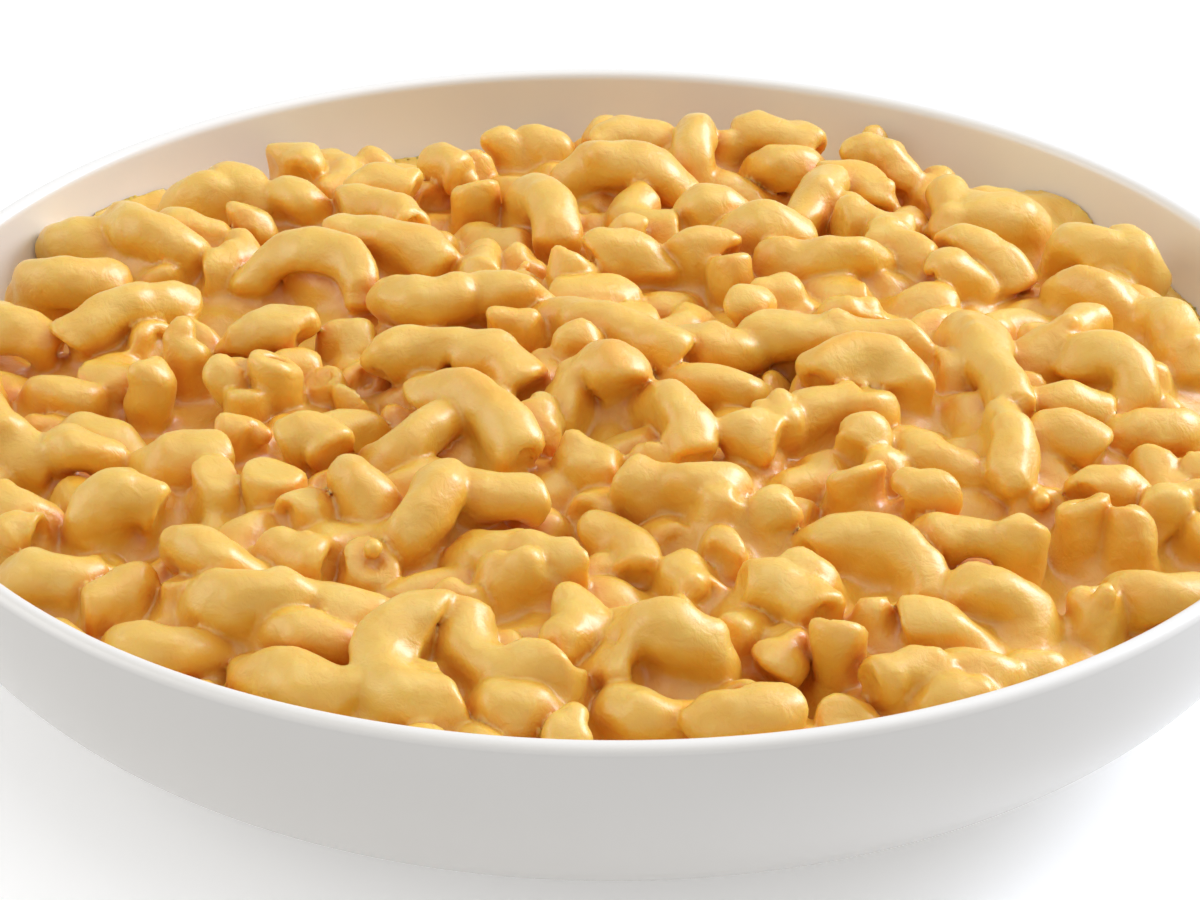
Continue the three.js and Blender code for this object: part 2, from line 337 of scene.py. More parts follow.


# Elbows that show in the top of the heap, listed in millimetres. Each has three points of its
# centre line, as (x, y, lift): where the point shows on the rim's level from the camera's height, and
# how far it lies over the usual depth of a centre line, before it is stretched by RELIEF. Then come
# the tube's radius and a mark: 1 for an open last end, -1 for an open first end, 2 for a bend filled
# with sauce, 0 for none of these.
LAID_ELBOWS = (
    (-20, 78, 0, -16, 78, 0, -14, 74, -2, 3, 0), (-12, 78, -2, -10, 78, 0, -7, 74, -2, 3.4, 0),
    (-1, 80, 0, 4, 84, 1.5, 9, 80, 0, 4.1, 0), (14, 84, 2, 14, 74, 0.5, 12, 66, -6, 4, 0),
    (22, 82, 0, 28, 84, 1.5, 35, 78, 0, 4.2, 0), (41, 74, 0, 46, 76, 1.5, 48, 65, -2, 4, 0),
    (-70, 54, -2, -65, 58, 0.5, -60, 54, -2, 4, 0), (-65, 62, 0, -61, 64, 1.5, -57, 52, -2, 4, 0),
    (-56, 71, 0, -53, 72, 0.5, -51, 67, 0, 4, 0), (-53, 58, 0, -50, 56, 0, -48, 52, -2, 3.9, 0),
    (-44, 54, 0, -38, 54, 0.5, -31, 46, 0, 3.9, 0), (-43, 60, 0, -37, 62, 0.5, -32, 60, 0, 4.1, 0),
    (-30, 72, 0, -26, 70, 0.5, -24, 66, 0, 3.6, 0), (-14, 50, -4, -8.5, 54, 1.5, -8, 40, -2, 4.2, 0),
    (-6, 64, -2, 2, 72, 2.5, 12, 60, -2, 4.4, 2), (14, 50, -2, 17, 56, 1.5, 20, 49, -2, 3.8, 2),
    (21, 42, -2, 26, 48, 1.5, 31, 40, -2, 4.2, 0), (26, 70, -2, 30, 72, 0, 34, 70, -2, 3.9, 0),
    (37, 66, 1.5, 34, 58, 0.5, 31, 46, -2, 4.2, 0), (36, 66, 0, 42, 66, 0.5, 45, 56, -2, 4, 0),
    (38, 50, 0.5, 42, 50, 0.5, 46, 44, 0.5, 4.3, 0), (56, 63, 0.5, 56, 55, 0.5, 56, 46, -2, 3.5, 0),
    (58, 52, -2, 64, 52, 0, 69, 48, -2, 5.2, 0), (-88, 21, -4, -84, 26, 1.5, -80, 21, -4, 3.9, 0),
    (-86, 37, -4, -82, 41, 0.5, -79, 37, -4, 3.9, 0), (-80, 30, -6, -76, 32, -4, -72, 30, -6, 3.3, 0),
    (-70, 42, -2, -66, 44, 0.5, -64, 40, -2, 3.7, 0), (-73, 38, -4, -68, 36, 0, -65, 30, -4, 3.6, 0),
    (-57, 24, -3, -49, 39, 2.5, -38, 18, -2, 3.5, 0), (-43, 42, 1.5, -36, 42, 2, -26, 32, 0, 4.3, 0),
    (-34, 22, 0, -27, 20, 1.5, -20, 22, 0.5, 4.1, 0), (-20, 36, -2, -20, 32, 0, -20, 28, 0, 3.7, 0),
    (-17, 14, -4, -14, 22, 1.5, -10, 15, -2, 4, 0), (-2, 35, 0, 4, 38, 0.5, 8, 30, -2, 4.3, 2),
    (7, 16, -6, 10, 18, -4, 12, 16, -6, 3.5, 0), (12, 36, 0, 16, 39, 0.5, 20, 37, 0, 4.2, 2),
    (31, 26, -6, 35, 38, 2, 40, 27, -6, 3.2, 0), (42, 42, 0, 46, 40, 0, 52, 34, 0, 4.1, 0),
    (52, 30, 0, 56, 32, 0.5, 60, 26, -2, 3.8, 0), (56, 40, 0.5, 61, 40, 1.5, 65, 28, -2, 4.2, 0),
    (73, 24, -2, 78, 26, 1.5, 83, 14, -2, 4.1, 0), (75, 38, -2, 79, 41, 1.5, 82.5, 34, -2, 4, 0),
    (86, 36, -2, 87, 34, 0, 88, 30, -2, 3.4, 0), (-98, 12, 0, -92, 8, 0.5, -86, 2, -2, 4.2, 0),
    (-96, -13, -4, -92, -14, -4, -89, -17, -6, 3.7, 0), (-86, -15, -4, -83, -14, -2, -80, -17, -4, 3.9, 2),
    (-84, 5, 0, -74, 17, 1.5, -66, 14, -2, 4.3, 0), (-58, 1, -2, -53, 10, 0.5, -47, 9, 0.5, 4.1, 0),
    (-34, -2, 0, -29, 4, 1.5, -23, 0, 0.5, 4.3, 2), (-23, 0, 0.5, -16, 0, 1.5, -12, -8, 0, 4.3, 0),
    (-4, -20, -2, -2, -3, 2, 3, -8, 2, 4.6, 2), (-11, 10, -2, 1, 12, 1.5, 12, 0, 0, 4.4, 0),
    (6, -21, -4, 10, -14, 1.5, 13, -30, 0, 4.1, 0), (13, 6, -2, 18, 5, 0, 22, 4, -2, 4.1, 0),
    (15, -12, -4, 18, -8, 0, 22, -14, -4, 3.8, 0), (22, 10, 0, 36, 10, 1.5, 49, 9, 1.5, 4, 0),
    (33, -4, 1.5, 42, 2, 2.5, 47, -10, 0.5, 4.5, 2), (55, 12, 0.5, 60, 0, 2, 62, -14, 1.5, 4.2, 0),
    (64, -2, -2, 70, 8, 1.5, 76, 16, 1.5, 4.3, 0), (66, -14, 0, 71, -12, 0.5, 77, -14, 0, 4, 0),
    (72, -2, 0, 81, -4, 1.5, 78, -16, -2, 4.2, 0), (83, 14, -2, 89, 14, 1.5, 90, -4, -2, 4.2, 0),
    (-95, -18, 0.5, -89, -28, 0.5, -84, -36, -2, 4.2, 0), (-80, -32, -2, -77, -31, 0, -74, -35, -2, 3.9, 0),
    (-67, -36, -2, -64, -34, 0, -57, -32, 0, 4.1, 0), (-42, -62, -3, -38, -58, -1, -34, -62, -3, 3.6, 0),
    (-48, -28, 0, -43, -26, 0.5, -40, -30, 0, 4.1, 0), (-37, -38, 1.5, -35, -42, 1.5, -33, -50, -2, 4.5, 0),
    (-27, -28, -4, -26, -22, 1.5, -24, -20, 0, 4.1, 0), (-28, -14, 0, -17, -16, 2.5, -12, -32, 0, 4.4, 2),
    (-21, -44, 0.5, -15, -42, 1.5, -10, -44, 0.5, 4.2, -1), (3, -36, 1.5, 5, -40, 0.5, 7, -46, -2, 4.4, 0),
    (10, -41, 0, 15, -39, 1.5, 20, -41, 0, 4.2, 2), (27, -22, -2, 32, -16, 0, 38, -11, 1, 4.4, 0),
    (46, -31, -4, 51, -31, 0, 56, -37, -2, 3.8, 0), (60, -14, 1.5, 61, -24, 1.5, 60, -38, 0, 3.8, 2),
    (66, -22, 0, 70, -22, 0.5, 75, -26, 0, 3.9, 0), (71, -40, 0, 75, -38, 0, 79, -44, -2, 3.9, 0),
    (79, -24, -2, 83, -20, 0.5, 88, -24, -2, 4, 0), (-90, -50, -2, -86, -50, 0, -82, -54, -2, 3.8, 0),
    (-83, -71, -2, -79, -70, 0.5, -74, -73, -2, 4.2, 0), (-76, -60, -2, -72, -45, 1.5, -65, -47, 0.5, 4.1, 0),
    (-59, -63, -2, -55, -63, 1.5, -49, -72, -2, 4.1, 0), (-54, -80, -4, -47, -74, 1.5, -42, -80, -4, 4, 2),
    (-24, -40, 1.5, -26, -50, 1.5, -30, -60, -2, 4.2, 0), (-14, -71, -2, -11, -66, 0.5, -9, -71, -2, 3.8, 0),
    (-19, -62, -2, -10, -62, 0, -3, -62, 0.5, 4.5, 2), (20, -67, 0.5, 25, -69, 0.5, 31, -76, 0.5, 4.1, 0),
    (28, -64, 0, 30, -68, 0, 31, -72, -2, 4, 0), (30, -61, -2, 44, -60, 0, 47, -76, -2, 4.4, 0),
    (46, -56, -2, 52, -54, 0.5, 58, -55, 0.5, 3.9, 0), (52, -77, -3, 56, -70, 1, 61, -79, -2, 4, 0),
    (-67, -90, -2, -62, -90, 0, -56, -92, -2, 4, 0), (-54, -80, -2, -51, -78, 0.5, -48, -80, -2, 3.7, 0),
    (-50, -98, -2, -45, -97, 0.5, -34, -102, 0.5, 4.1, 0), (-45, -84, -2, -40, -86, 0, -35, -88, -2, 3.8, 0),
    (-43, -106, -2, -39, -104, -2, -34, -106, -2, 4, 0), (-39, -78, -2, -35, -78, 0, -31, -80, -2, 3.9, 0),
    (-23, -80, 1.5, -31, -92, 1.5, -20, -102, 0.5, 4.5, 2),
    (-19, -78, 0.5, -15, -92, 0.5, -6, -90, 1.5, 4.4, 0),
    (3, -82, -2, 6, -82, 0, 9, -84, 0, 3.8, 0), (4, -88, -2, 11, -82, 2, 16, -94, -2, 4.5, 2),
    (14, -107, 0, 20, -104, 1.5, 26, -104, 0.5, 4.3, 0), (38, -96, 0, 43, -94.5, 0, 49, -96, 0, 4.3, 0),
    (46, -104, -2, 50, -102, 0, 53, -104, -2, 3.8, 0), (50, -96, -2, 53, -94, 0, 56, -98, -2, 3.8, 0),
    (58, -96, -2, 61, -96, -2, 64, -94, -2, 3.6, 0), (75, -73, -2, 80, -72, 0.5, 85, -73, -2, 4, 0),
    (-15, -106, -2, -11, -106, 0, -8, -110, -2, 4, 0), (3, -106, -2, 8, -106, 0, 12, -108, -2, 4, 0),
)

# Elbows that stand on end: x, y of the top and y of the lowest part that shows, the top's lift, the
# tube's radius, how far the foot leans to the right, and whether the top is open.
STANDING_ELBOWS = (
    (45, 84, 80, 0.5, 2.6, 0, 0), (20, 82, 70, 0.5, 3.4, 0, 0), (11, 76, 67, 0, 2.6, 0, 0),
    (-22, 74, 66, 0.5, 3.8, 0, 0), (-21.5, 63, 46, 1.5, 4.3, 0, 0), (-58, 53, 33, 1.5, 4, 1, 0),
    (28, 38, 22, 0.5, 4.3, 1, 0), (-5, 36, 22, 1.5, 3.9, 0.5, 0), (20, 36, 22, 1.5, 4.2, 0.5, 0),
    (-65, 6, -10, 1.5, 4.1, 0, 0), (-76, -1, -13, -2, 3.5, 0.5, 0), (-50, -1, -20, 2, 4.7, 0.5, 1),
    (-70, -6, -19, 0.5, 3.9, 0, 0), (-52, -12, -24, -2, 4.4, 0, 0), (-38, -12, -23, -2, 3.1, 0, 0),
    (26, -15, -24, 1.5, 4.2, 0, 0), (8, -26, -40, 0.5, 3.9, 0, 0), (37, -34, -48, 1.5, 4.6, 0, 0),
    (-57, -37, -60, 1.5, 4.3, 0, 0), (18, -42, -60, 2, 4.4, -1.5, 0), (77.5, -47, -64, 1.5, 4.4, 0, 0),
    (-60, -70, -84, 0.5, 4.1, 0, 0), (71, -71, -86, 0.5, 4.3, 0, 0), (38, -74, -88, 0.5, 2.3, 0, 0),
    (33, -79, -99, 2, 4.1, 0.5, 0), (-6, -95, -107, 0.5, 4.2, 0.5, 0), (-57, -2, -12, 1.5, 3.8, 0, 0),
    (-54, -10, -26, 0, 4.6, 0, 0), (39, -9, -34, 2, 4.7, 2, 0), (-48.5, -36, -58, 1.5, 4.3, 1, 0),
    (32, -15, -34, 0, 4.8, 0, 0), (43, -77, -86, -2, 3.4, 0, 0), (60.5, -51, -62, 2, 4.6, 0, 0),
    (70.5, -43, -64, 1.5, 4.5, 0, 1), (60, -84, -92, -2, 3.6, 0, 0),
)

CENTRE_LINE_DEPTH = 4.1  # usual depth of a centre line under the heap's top
RELIEF = 1.35  # how much the lifts of the placed elbows are stretched
LEAST_SAG = 0.7  # the straightest elbow still bows this much


def heap_crown(x, y):
    """Height of the heap's smooth crown, which falls off toward the wall with a power of the radius."""
    return CROWN_HEIGHT - CROWN_FALL * (np.hypot(x, y) / CROWN_RADIUS) ** CROWN_POWER


def heap_points(x, y, lift):
    """Points in the heap from where they show on the rim's level: the crown gives each one's height, and
    each slides forward along the line of sight by its height over the rim times the view's slope."""
    height = heap_crown(x, y) - CENTRE_LINE_DEPTH + RELIEF * lift
    return np.stack([x, y - (height - BOWL_HEIGHT) / math.tan(VIEW_ELEVATION), height], -1)


def laid_elbows(random):
    """The listed elbows, each bent round the circle through its three points."""
    laid = np.array(LAID_ELBOWS, dtype=float)
    lying = heap_points(laid[:, 0:9:3], laid[:, 1:9:3], laid[:, 2:9:3])
    stood = np.array(STANDING_ELBOWS, dtype=float)
    top = heap_points(stood[:, 0], stood[:, 1], stood[:, 3])
    drop = (stood[:, 1] - stood[:, 2]) * math.tan(VIEW_ELEVATION) * STOOD_DROP
    foot = top + np.stack([stood[:, 5], 0.3 + 0 * drop, -drop], -1)
    waist = top + np.stack([0.45 * stood[:, 5], -0.6 + 0 * drop, -0.5 * drop], -1)
    points = np.concatenate([lying, np.stack([foot, waist, top], 1)])
    reach = np.concatenate([np.full(len(laid), LAID_REACH), np.full(len(stood), STOOD_REACH)])
    count = len(points)
    centre, axes, bend, half = circles_through(points, reach)
    hole = random.uniform(*DIMPLES, (count, 2))
    open_end = np.concatenate([laid[:, 10], stood[:, 6]])
    hole[open_end == 1, 0] = OPEN_DEPTH
    hole[open_end == -1, 1] = OPEN_DEPTH
    return {
        "place": centre, "axes": axes, "bend": bend, "half": half,
        "tube": TUBE_SHARE * np.concatenate([laid[:, 9], stood[:, 4]]),
        **irregularity(count, 1.14, random),
        "lift": np.zeros(count),
        "hole": hole,
        "filled": open_end == 2,
    }


def circles_through(points, reach):
    """Centre, axes, radius and half angle of the arc through three points and a little past the ends.
    The centre is the first point plus the cross products of the triangle's normal with its two sides,
    each times the other side's square, over twice the normal's square."""
    first, middle, last = points[:, 0], points[:, 1], points[:, 2]
    chord = last - first
    along = chord / np.linalg.norm(chord, axis=1, keepdims=True)
    sag = middle - (first + last) / 2
    sag -= along * (sag * along).sum(1, keepdims=True)
    aside = np.cross(along, (0, 1.0, 0.3))
    aside /= np.linalg.norm(aside, axis=1, keepdims=True)
    flat = np.linalg.norm(sag, axis=1) < LEAST_SAG
    middle = middle + np.where(flat[:, None], LEAST_SAG * aside, 0)
    side = middle - first
    normal = np.cross(side, chord)
    centre = first + (
        np.cross(normal, side) * (chord ** 2).sum(1, keepdims=True)
        + np.cross(chord, normal) * (side ** 2).sum(1, keepdims=True)
    ) / (2 * (normal ** 2).sum(1, keepdims=True))
    out = middle - centre
    bend = np.linalg.norm(out, axis=1)
    out /= bend[:, None]
    over = normal / np.linalg.norm(normal, axis=1, keepdims=True)
    on = np.cross(over, out)
    start, end = (np.arctan2(((p - centre) * on).sum(1), ((p - centre) * out).sum(1)) for p in (first, last))
    start = np.where(start > 0, start - 2 * np.pi, start)
    end = np.where(end < 0, end + 2 * np.pi, end)
    turn = ((start + end) / 2)[:, None]
    half = ((end - start) / 2 + reach / bend).clip(0.1, 2.6)
    axes = np.stack([
        out * np.cos(turn) + on * np.sin(turn), on * np.cos(turn) - out * np.sin(turn), over], -1)
    return centre, axes, bend, half


def together(first, second):
    """Two sets of elbows as one."""
    return {name: np.concatenate([first[name], second[name]]) for name in first}


def rotations(quaternions):
    """Rotation matrices of an array of quaternions."""
    w, x, y, z = (quaternions / np.linalg.norm(quaternions, axis=1, keepdims=True)).T
    return np.stack([
        np.stack([1 - 2 * (y * y + z * z), 2 * (x * y - z * w), 2 * (x * z + y * w)], -1),
        np.stack([2 * (x * y + z * w), 1 - 2 * (x * x + z * z), 2 * (y * z - x * w)], -1),
        np.stack([2 * (x * z - y * w), 2 * (y * z + x * w), 1 - 2 * (x * x + y * y)], -1)], 1)


def points_on_arcs(elbows, shares):
    """Points on the arc of each elbow's bend in its own axes, at shares of the way from the middle."""
    swing = elbows["half"][:, None] * shares
    bend = elbows["bend"][:, None]
    return np.stack([bend * np.cos(swing), bend * np.sin(swing), 0 * swing], -1)


def own_beads(elbows):
    """Beads of each elbow in its own axes, about their mean, and that mean."""
    beads = points_on_arcs(elbows, np.linspace(-BEAD_REACH, BEAD_REACH, PATH_BEADS))
    middle = beads.mean(1, keepdims=True)
    return beads - middle, middle[:, 0]


def settle(elbows, free):
    """Settle the elbows by position-based relaxation. Each step lifts the free ones a little, parts the
    beads of different elbows that overlap, keeps beads inside the wall, over the slab's floor and
    under the heap's top, and then gives every elbow back its own shape by the best-fitting turn."""
    count = len(elbows["place"])
    own, middle = own_beads(elbows)
    axes = elbows["axes"].copy()
    elbows["place"][~free] += np.einsum("nij,nj->ni", axes, middle)[~free]
    beads = elbows["place"][:, None] + np.einsum("nij,nkj->nki", axes, own)
    pinned = beads.copy()
    radius = np.repeat(elbows["tube"] * BEAD_SHARE, PATH_BEADS)
    owner = np.repeat(np.arange(count), PATH_BEADS)
    share = np.where(free[owner], 1.0, 0.0)
    ceiling = elbows["lift"][owner]
    for step in range(SETTLE_STEPS):
        beads[free, :, 2] += SETTLE_LIFT
        flat = beads.reshape(-1, 3)
        if step % NEIGHBOUR_STEPS == 0:
            near = ((flat[:, None, :] - flat[None, :, :]) ** 2).sum(-1) < NEAR_BEADS ** 2
            first, second = np.nonzero(np.triu(near, 1))
            apart = owner[first] != owner[second]
            first, second = first[apart], second[apart]
        for _ in range(SETTLE_ROUNDS):
            flat = beads.reshape(-1, 3).copy()
            gap = flat[first] - flat[second]
            distance = np.linalg.norm(gap, axis=1) + 1e-9
            overlap = (radius[first] + radius[second] - distance).clip(0)
            weight = share[first] + share[second] + 1e-9
            push = gap / distance[:, None] * (overlap / weight)[:, None]
            moved = np.zeros_like(flat)
            touches = np.zeros(len(flat))
            np.add.at(moved, first, push * share[first][:, None])
            np.add.at(moved, second, -push * share[second][:, None])
            np.add.at(touches, first, overlap > 0)
            np.add.at(touches, second, overlap > 0)
            flat += OVERSHOOT * moved / touches.clip(1)[:, None]
            reach = np.hypot(flat[:, 0], flat[:, 1])
            limit = inner_radius_at(flat[:, 2]) - radius - WALL_GAP
            flat[:, :2] *= np.minimum(1, limit / reach.clip(1e-6))[:, None]
            top = heap_top(flat[:, 0], flat[:, 1])
            flat[:, 2] = flat[:, 2].clip(top - SLAB_DEPTH, top - radius + ceiling)
            beads = flat.reshape(count, PATH_BEADS, 3)
            beads[~free] = pinned[~free]
            centre = beads.mean(1, keepdims=True)
            spread = np.einsum("nki,nkj->nij", beads - centre, own) + 1e-5 * axes
            left, _, right = np.linalg.svd(spread)
            left[:, :, 2] *= np.linalg.det(left @ right)[:, None]
            axes = left @ right
            axes[~free] = elbows["axes"][~free]
            beads = centre + np.einsum("nij,nkj->nki", axes, own)
    elbows["axes"] = axes
    elbows["centre"] = beads.mean(1) - np.einsum("nij,nj->ni", axes, middle)
    return elbows


# ---- sauced surface

def smooth_min(first, second, width):
    """Smaller of two distances, with a rounded fillet of about the given width where they are close."""
    blend = (0.5 + 0.5 * (second - first) / width).clip(0, 1)
    return second + (first - second) * blend - width * blend * (1 - blend)


def smooth_max(first, second, width):
    """Larger of two distances, with its edge rounded over about the given width."""
    return -smooth_min(-first, -second, width)


class Grid:
    """Even grid of points over the bowl, in millimetres."""

    def __init__(self, low, high, cell):
        self.low = np.array(low, dtype=np.float64)
        self.cell = cell
        self.shape = np.ceil((np.array(high) - self.low) / cell).astype(int) + 1
        self.axes = [
            (self.low[i] + cell * np.arange(self.shape[i])).astype(np.float32) for i in range(3)]

    def block(self, low, high):
        """Slices of the grid that cover a box."""
        first = np.floor((low - self.low) / self.cell).astype(int).clip(0)
        last = np.minimum(np.ceil((high - self.low) / self.cell).astype(int) + 1, self.shape)
        return tuple(slice(a, max(a, b)) for a, b in zip(first, last))

    def points(self, block):
        """Coordinates of a block's points as three arrays that broadcast together."""
        x, y, z = (axis[part] for axis, part in zip(self.axes, block))
        return x[:, None, None], y[None, :, None], z[None, None, :]

    def sample(self, field, places):
        """Value of a field between grid points, by trilinear interpolation."""
        at = ((places - self.low) / self.cell).clip(0, self.shape - 1.001)
        i, j, k = np.floor(at).astype(int).T
        u, v, w = (at - np.floor(at)).T.astype(np.float32)
        total = 0
        for a in (0, 1):
            for b in (0, 1):
                for c in (0, 1):
                    share = (u if a else 1 - u) * (v if b else 1 - v) * (w if c else 1 - w)
                    total = total + share * field[i + a, j + b, k + c]
        return total


def lattice_noise(grid, wavelength, random):
    """Smooth noise from -1 to 1: random values on a coarse lattice, carried to the fine grid along
    each axis by cosine interpolation."""
    weights = []
    for axis in grid.axes:
        at = (axis - axis[0]) / wavelength
        base = np.floor(at).astype(int)
        ease = 0.5 - 0.5 * np.cos(np.pi * (at - base))
        matrix = np.zeros((len(axis), base.max() + 2), dtype=np.float32)
        matrix[np.arange(len(axis)), base] = 1 - ease
        matrix[np.arange(len(axis)), base + 1] = ease
        weights.append(matrix)
    lattice = random.uniform(-1, 1, [w.shape[1] for w in weights]).astype(np.float32)
    return np.einsum("ai,bj,ck,ijk->abc", *weights, lattice, optimize=True)


def blur(picture, width, cell):
    """Even out a height map with a Gaussian of the given width, along one axis and then the other."""
    def kernel(size):
        offset = np.arange(size)[:, None] - np.arange(size)[None, :]
        weight = np.exp(-0.5 * (offset * cell / width) ** 2)
        return weight / weight.sum(1, keepdims=True)
    return kernel(picture.shape[0]) @ picture @ kernel(picture.shape[1]).T


# Where sauce stands higher or lower, as (x, y, radius, rise): pools between the elbows, slopes on the
# wall, and gaps that stay deep.
POOLS = (
    (40, -66, 9, 3.5), (51, -38, 8, 2.5), (-10, -56, 9, 2.0), (46, -84, 9, 2.5), (22, -52, 7, 1.5),
    (22, -84, 6, 3.0), (28, -102, 7, 3.0), (54, -68, 8, 2.0), (-32, -86, 6, 3.5),
    (-83, 66, 12, 8), (-70, 80, 10, 2), (68, 72, 13, 7.5), (0, 101, 18, 3.5), (-40, 92, 16, 3.5),
    (-49, 34, 7, -6), (-61, -9, 6, -5), (29, 6, 7, -4), (-87, 28, 7, -4), (-31, -14, 5, -4),
    (27, -77, 5, -4), (1, -80, 5, -4), (88, -3, 6, -4), (70, -54, 6, -4), (52, -49, 5, -4),
)

FILLET = 0.9  # of sauce between two elbows
LUMP_FILLET = 1.5  # round a lump of sauce
WEB_FILLET = 1.8  # between a bend and the sauce inside it
SAUCE_FILLET = 3.4  # between the elbows and the sauce they stand in
SAUCE_DEPTH = 4.9  # from the blurred tops of the elbows down to the sauce
TOP_BLUR = 3.6  # width of that blur
LEVEL_DRIFT = 3.0  # how far noise of DRIFT_WAVE raises and lowers the sauce
DRIFT_WAVE = 16.0
WALL_CREEP = 1.6  # how high the sauce creeps up the wall, and from how far away
FAR = 6.0  # distance given to points that no elbow is near
BLOCK_MARGIN = 3.5  # how far from a tube its distance is worked out
LUMP_MARGIN = 2.0  # and from a lump
HEAP_FLOOR_CUT = 22.0  # height of the flat that closes the heap below, out of sight
GRID_TOP = 53  # height of the grid's upper side
GRID_MARGIN = 1.5  # between that flat and the grid's lower side
SKIN_TRIANGLES = 196000
LUMP_COUNT = 1000
LUMP_SIZES = (1.2, 2.6)
LUMPS_OUT = (0.3, 1.0)  # how far lumps stand out of the tube
COAT_NOISE = ((0.36, 5.6), (0.36, 3.1), (0.08, 1.8))  # size and wavelength of the coat's unevenness
WALL_CLEARANCE = 0.05  # between the sauce and the glaze
EDGE_ROUND = 0.7  # of the sauce where it meets the wall
END_ROUND = 1.4  # of the rim at an elbow's cut ends
BORE_FILLET = 0.8
WEB_SETBACK = 1.0  # how far from the ends the sauce inside a filled bend stops
BORE_RADIUS = 1.8  # of the opening that the sauce leaves in a cut end
FILL_SHARE = 0.35  # thickness of the sauce inside a filled bend, as a share of the tube's
FILL_WIDTH = 2.2  # how far that sauce reaches in from the tube
WARP = 0.8  # how far noise of WARP_WAVE bends the elbows
WARP_WAVE = 7.5
SWELLS = 3.4  # turn of the swelling wave from an elbow's middle to its end, in radians
# Shares that bring these distances nearer to true ones, since the surfaces they are taken from slope.
CUT_SLOPE = 0.94
SAUCE_SLOPE = 0.85
WALL_SLOPE = 0.93


def elbow_distance(x, y, z, elbows, i):
    """Distance to one sauced elbow: a tube round an arc, cut at both ends with a rounded rim, less the
    bore that opens into each end. A filled one has a thin web of sauce inside its bend."""
    centre = elbows["centre"][i]
    axes = elbows["axes"][i]
    x, y, z = x - centre[0], y - centre[1], z - centre[2]
    out = x * axes[0, 0] + y * axes[1, 0] + z * axes[2, 0]
    along = x * axes[0, 1] + y * axes[1, 1] + z * axes[2, 1]
    over = x * axes[0, 2] + y * axes[1, 2] + z * axes[2, 2]
    half = elbows["half"][i]
    radial = np.hypot(out, along) - elbows["bend"][i]
    turn = elbows["squash_turn"][i]
    wide = (radial * math.cos(turn) + over * math.sin(turn)) / elbows["squash"][i] ** 0.5
    narrow = (over * math.cos(turn) - radial * math.sin(turn)) * elbows["squash"][i] ** 0.5
    from_path = np.hypot(wide, narrow)
    swing = np.arctan2(along, out) / half
    tube = elbows["tube"][i] + elbows["swell"][i] * np.sin(SWELLS * swing + elbows["swell_phase"][i])
    tilt = elbows["cut_tilt"][i]
    lean_of_last = tilt[0, 0] * radial + tilt[0, 1] * over
    lean_of_first = tilt[1, 0] * radial + tilt[1, 1] * over
    lean = np.where(along > 0, lean_of_last, lean_of_first)
    past_end = (np.abs(along) * math.cos(half) - out * math.sin(half) + lean) * CUT_SLOPE
    side = from_path - (tube - END_ROUND)
    end = past_end + END_ROUND
    solid = np.minimum(np.maximum(side, end), 0) + np.hypot(side.clip(0), end.clip(0)) - END_ROUND
    depth = np.where(along > 0, elbows["hole"][i, 0], elbows["hole"][i, 1])
    bore = np.maximum(from_path - BORE_RADIUS, -past_end - depth)
    solid = smooth_max(solid, -bore, BORE_FILLET)
    if elbows["filled"][i]:
        ring = np.maximum(radial, -radial - tube - FILL_WIDTH)
        web = np.maximum(np.maximum(ring, np.abs(over) - FILL_SHARE * tube), past_end + WEB_SETBACK)
        solid = smooth_min(solid, web, WEB_FILLET)
    return solid


def surface_net(field, grid):
    """Closed surface where the field is zero: one point in every cell that the surface crosses, at the
    mean of its crossings with the cell's edges, and one quad round every grid edge that it crosses."""
    inside = field < 0
    nx, ny, nz = (n - 1 for n in field.shape)
    corners = [(a, b, c) for a in (0, 1) for b in (0, 1) for c in (0, 1)]
    count = sum(inside[a:a + nx, b:b + ny, c:c + nz].astype(np.int8) for a, b, c in corners)
    i, j, k = np.nonzero((count > 0) & (count < 8))
    index = np.full((nx, ny, nz), -1, dtype=np.int32)
    index[i, j, k] = np.arange(len(i))
    values = {c: field[i + c[0], j + c[1], k + c[2]] for c in corners}
    total = np.zeros((len(i), 3))
    crossings = np.zeros(len(i))
    for first in corners:
        for axis in range(3):
            if first[axis]:
                continue
            second = tuple(1 if n == axis else first[n] for n in range(3))
            a, b = values[first], values[second]
            crossed = (a < 0) != (b < 0)
            share = np.where(crossed, a / np.where(crossed, a - b, 1), 0)
            step = np.array(second) - np.array(first)
            spot = np.array(first)[None, :] + share[:, None] * step[None, :]
            total += spot * crossed[:, None]
            crossings += crossed
    points = np.stack([i, j, k], 1) + total / crossings[:, None]
    quads = []
    for axis in range(3):
        low = [slice(1, n) for n in (nx, ny, nz)]
        low[axis] = slice(0, (nx, ny, nz)[axis])
        high = list(low)
        high[axis] = slice(1, (nx, ny, nz)[axis] + 1)
        a, b = inside[tuple(low)], inside[tuple(high)]
        edge = np.stack(np.nonzero(a != b), 1)
        starts_inside = a[tuple(edge.T)]
        edge[:, [n for n in range(3) if n != axis]] += 1
        u, v = [n for n in range(3) if n != axis]
        back_u, back_v = np.eye(3, dtype=int)[u], np.eye(3, dtype=int)[v]
        around = [edge - back_u - back_v, edge - back_v, edge, edge - back_u]
        ring = np.stack([index[tuple(cell.T)] for cell in around], 1)
        turn = starts_inside if axis != 1 else ~starts_inside
        quads.append(np.where(turn[:, None], ring, ring[:, ::-1]))
    return grid.low + points * grid.cell, np.concatenate(quads)


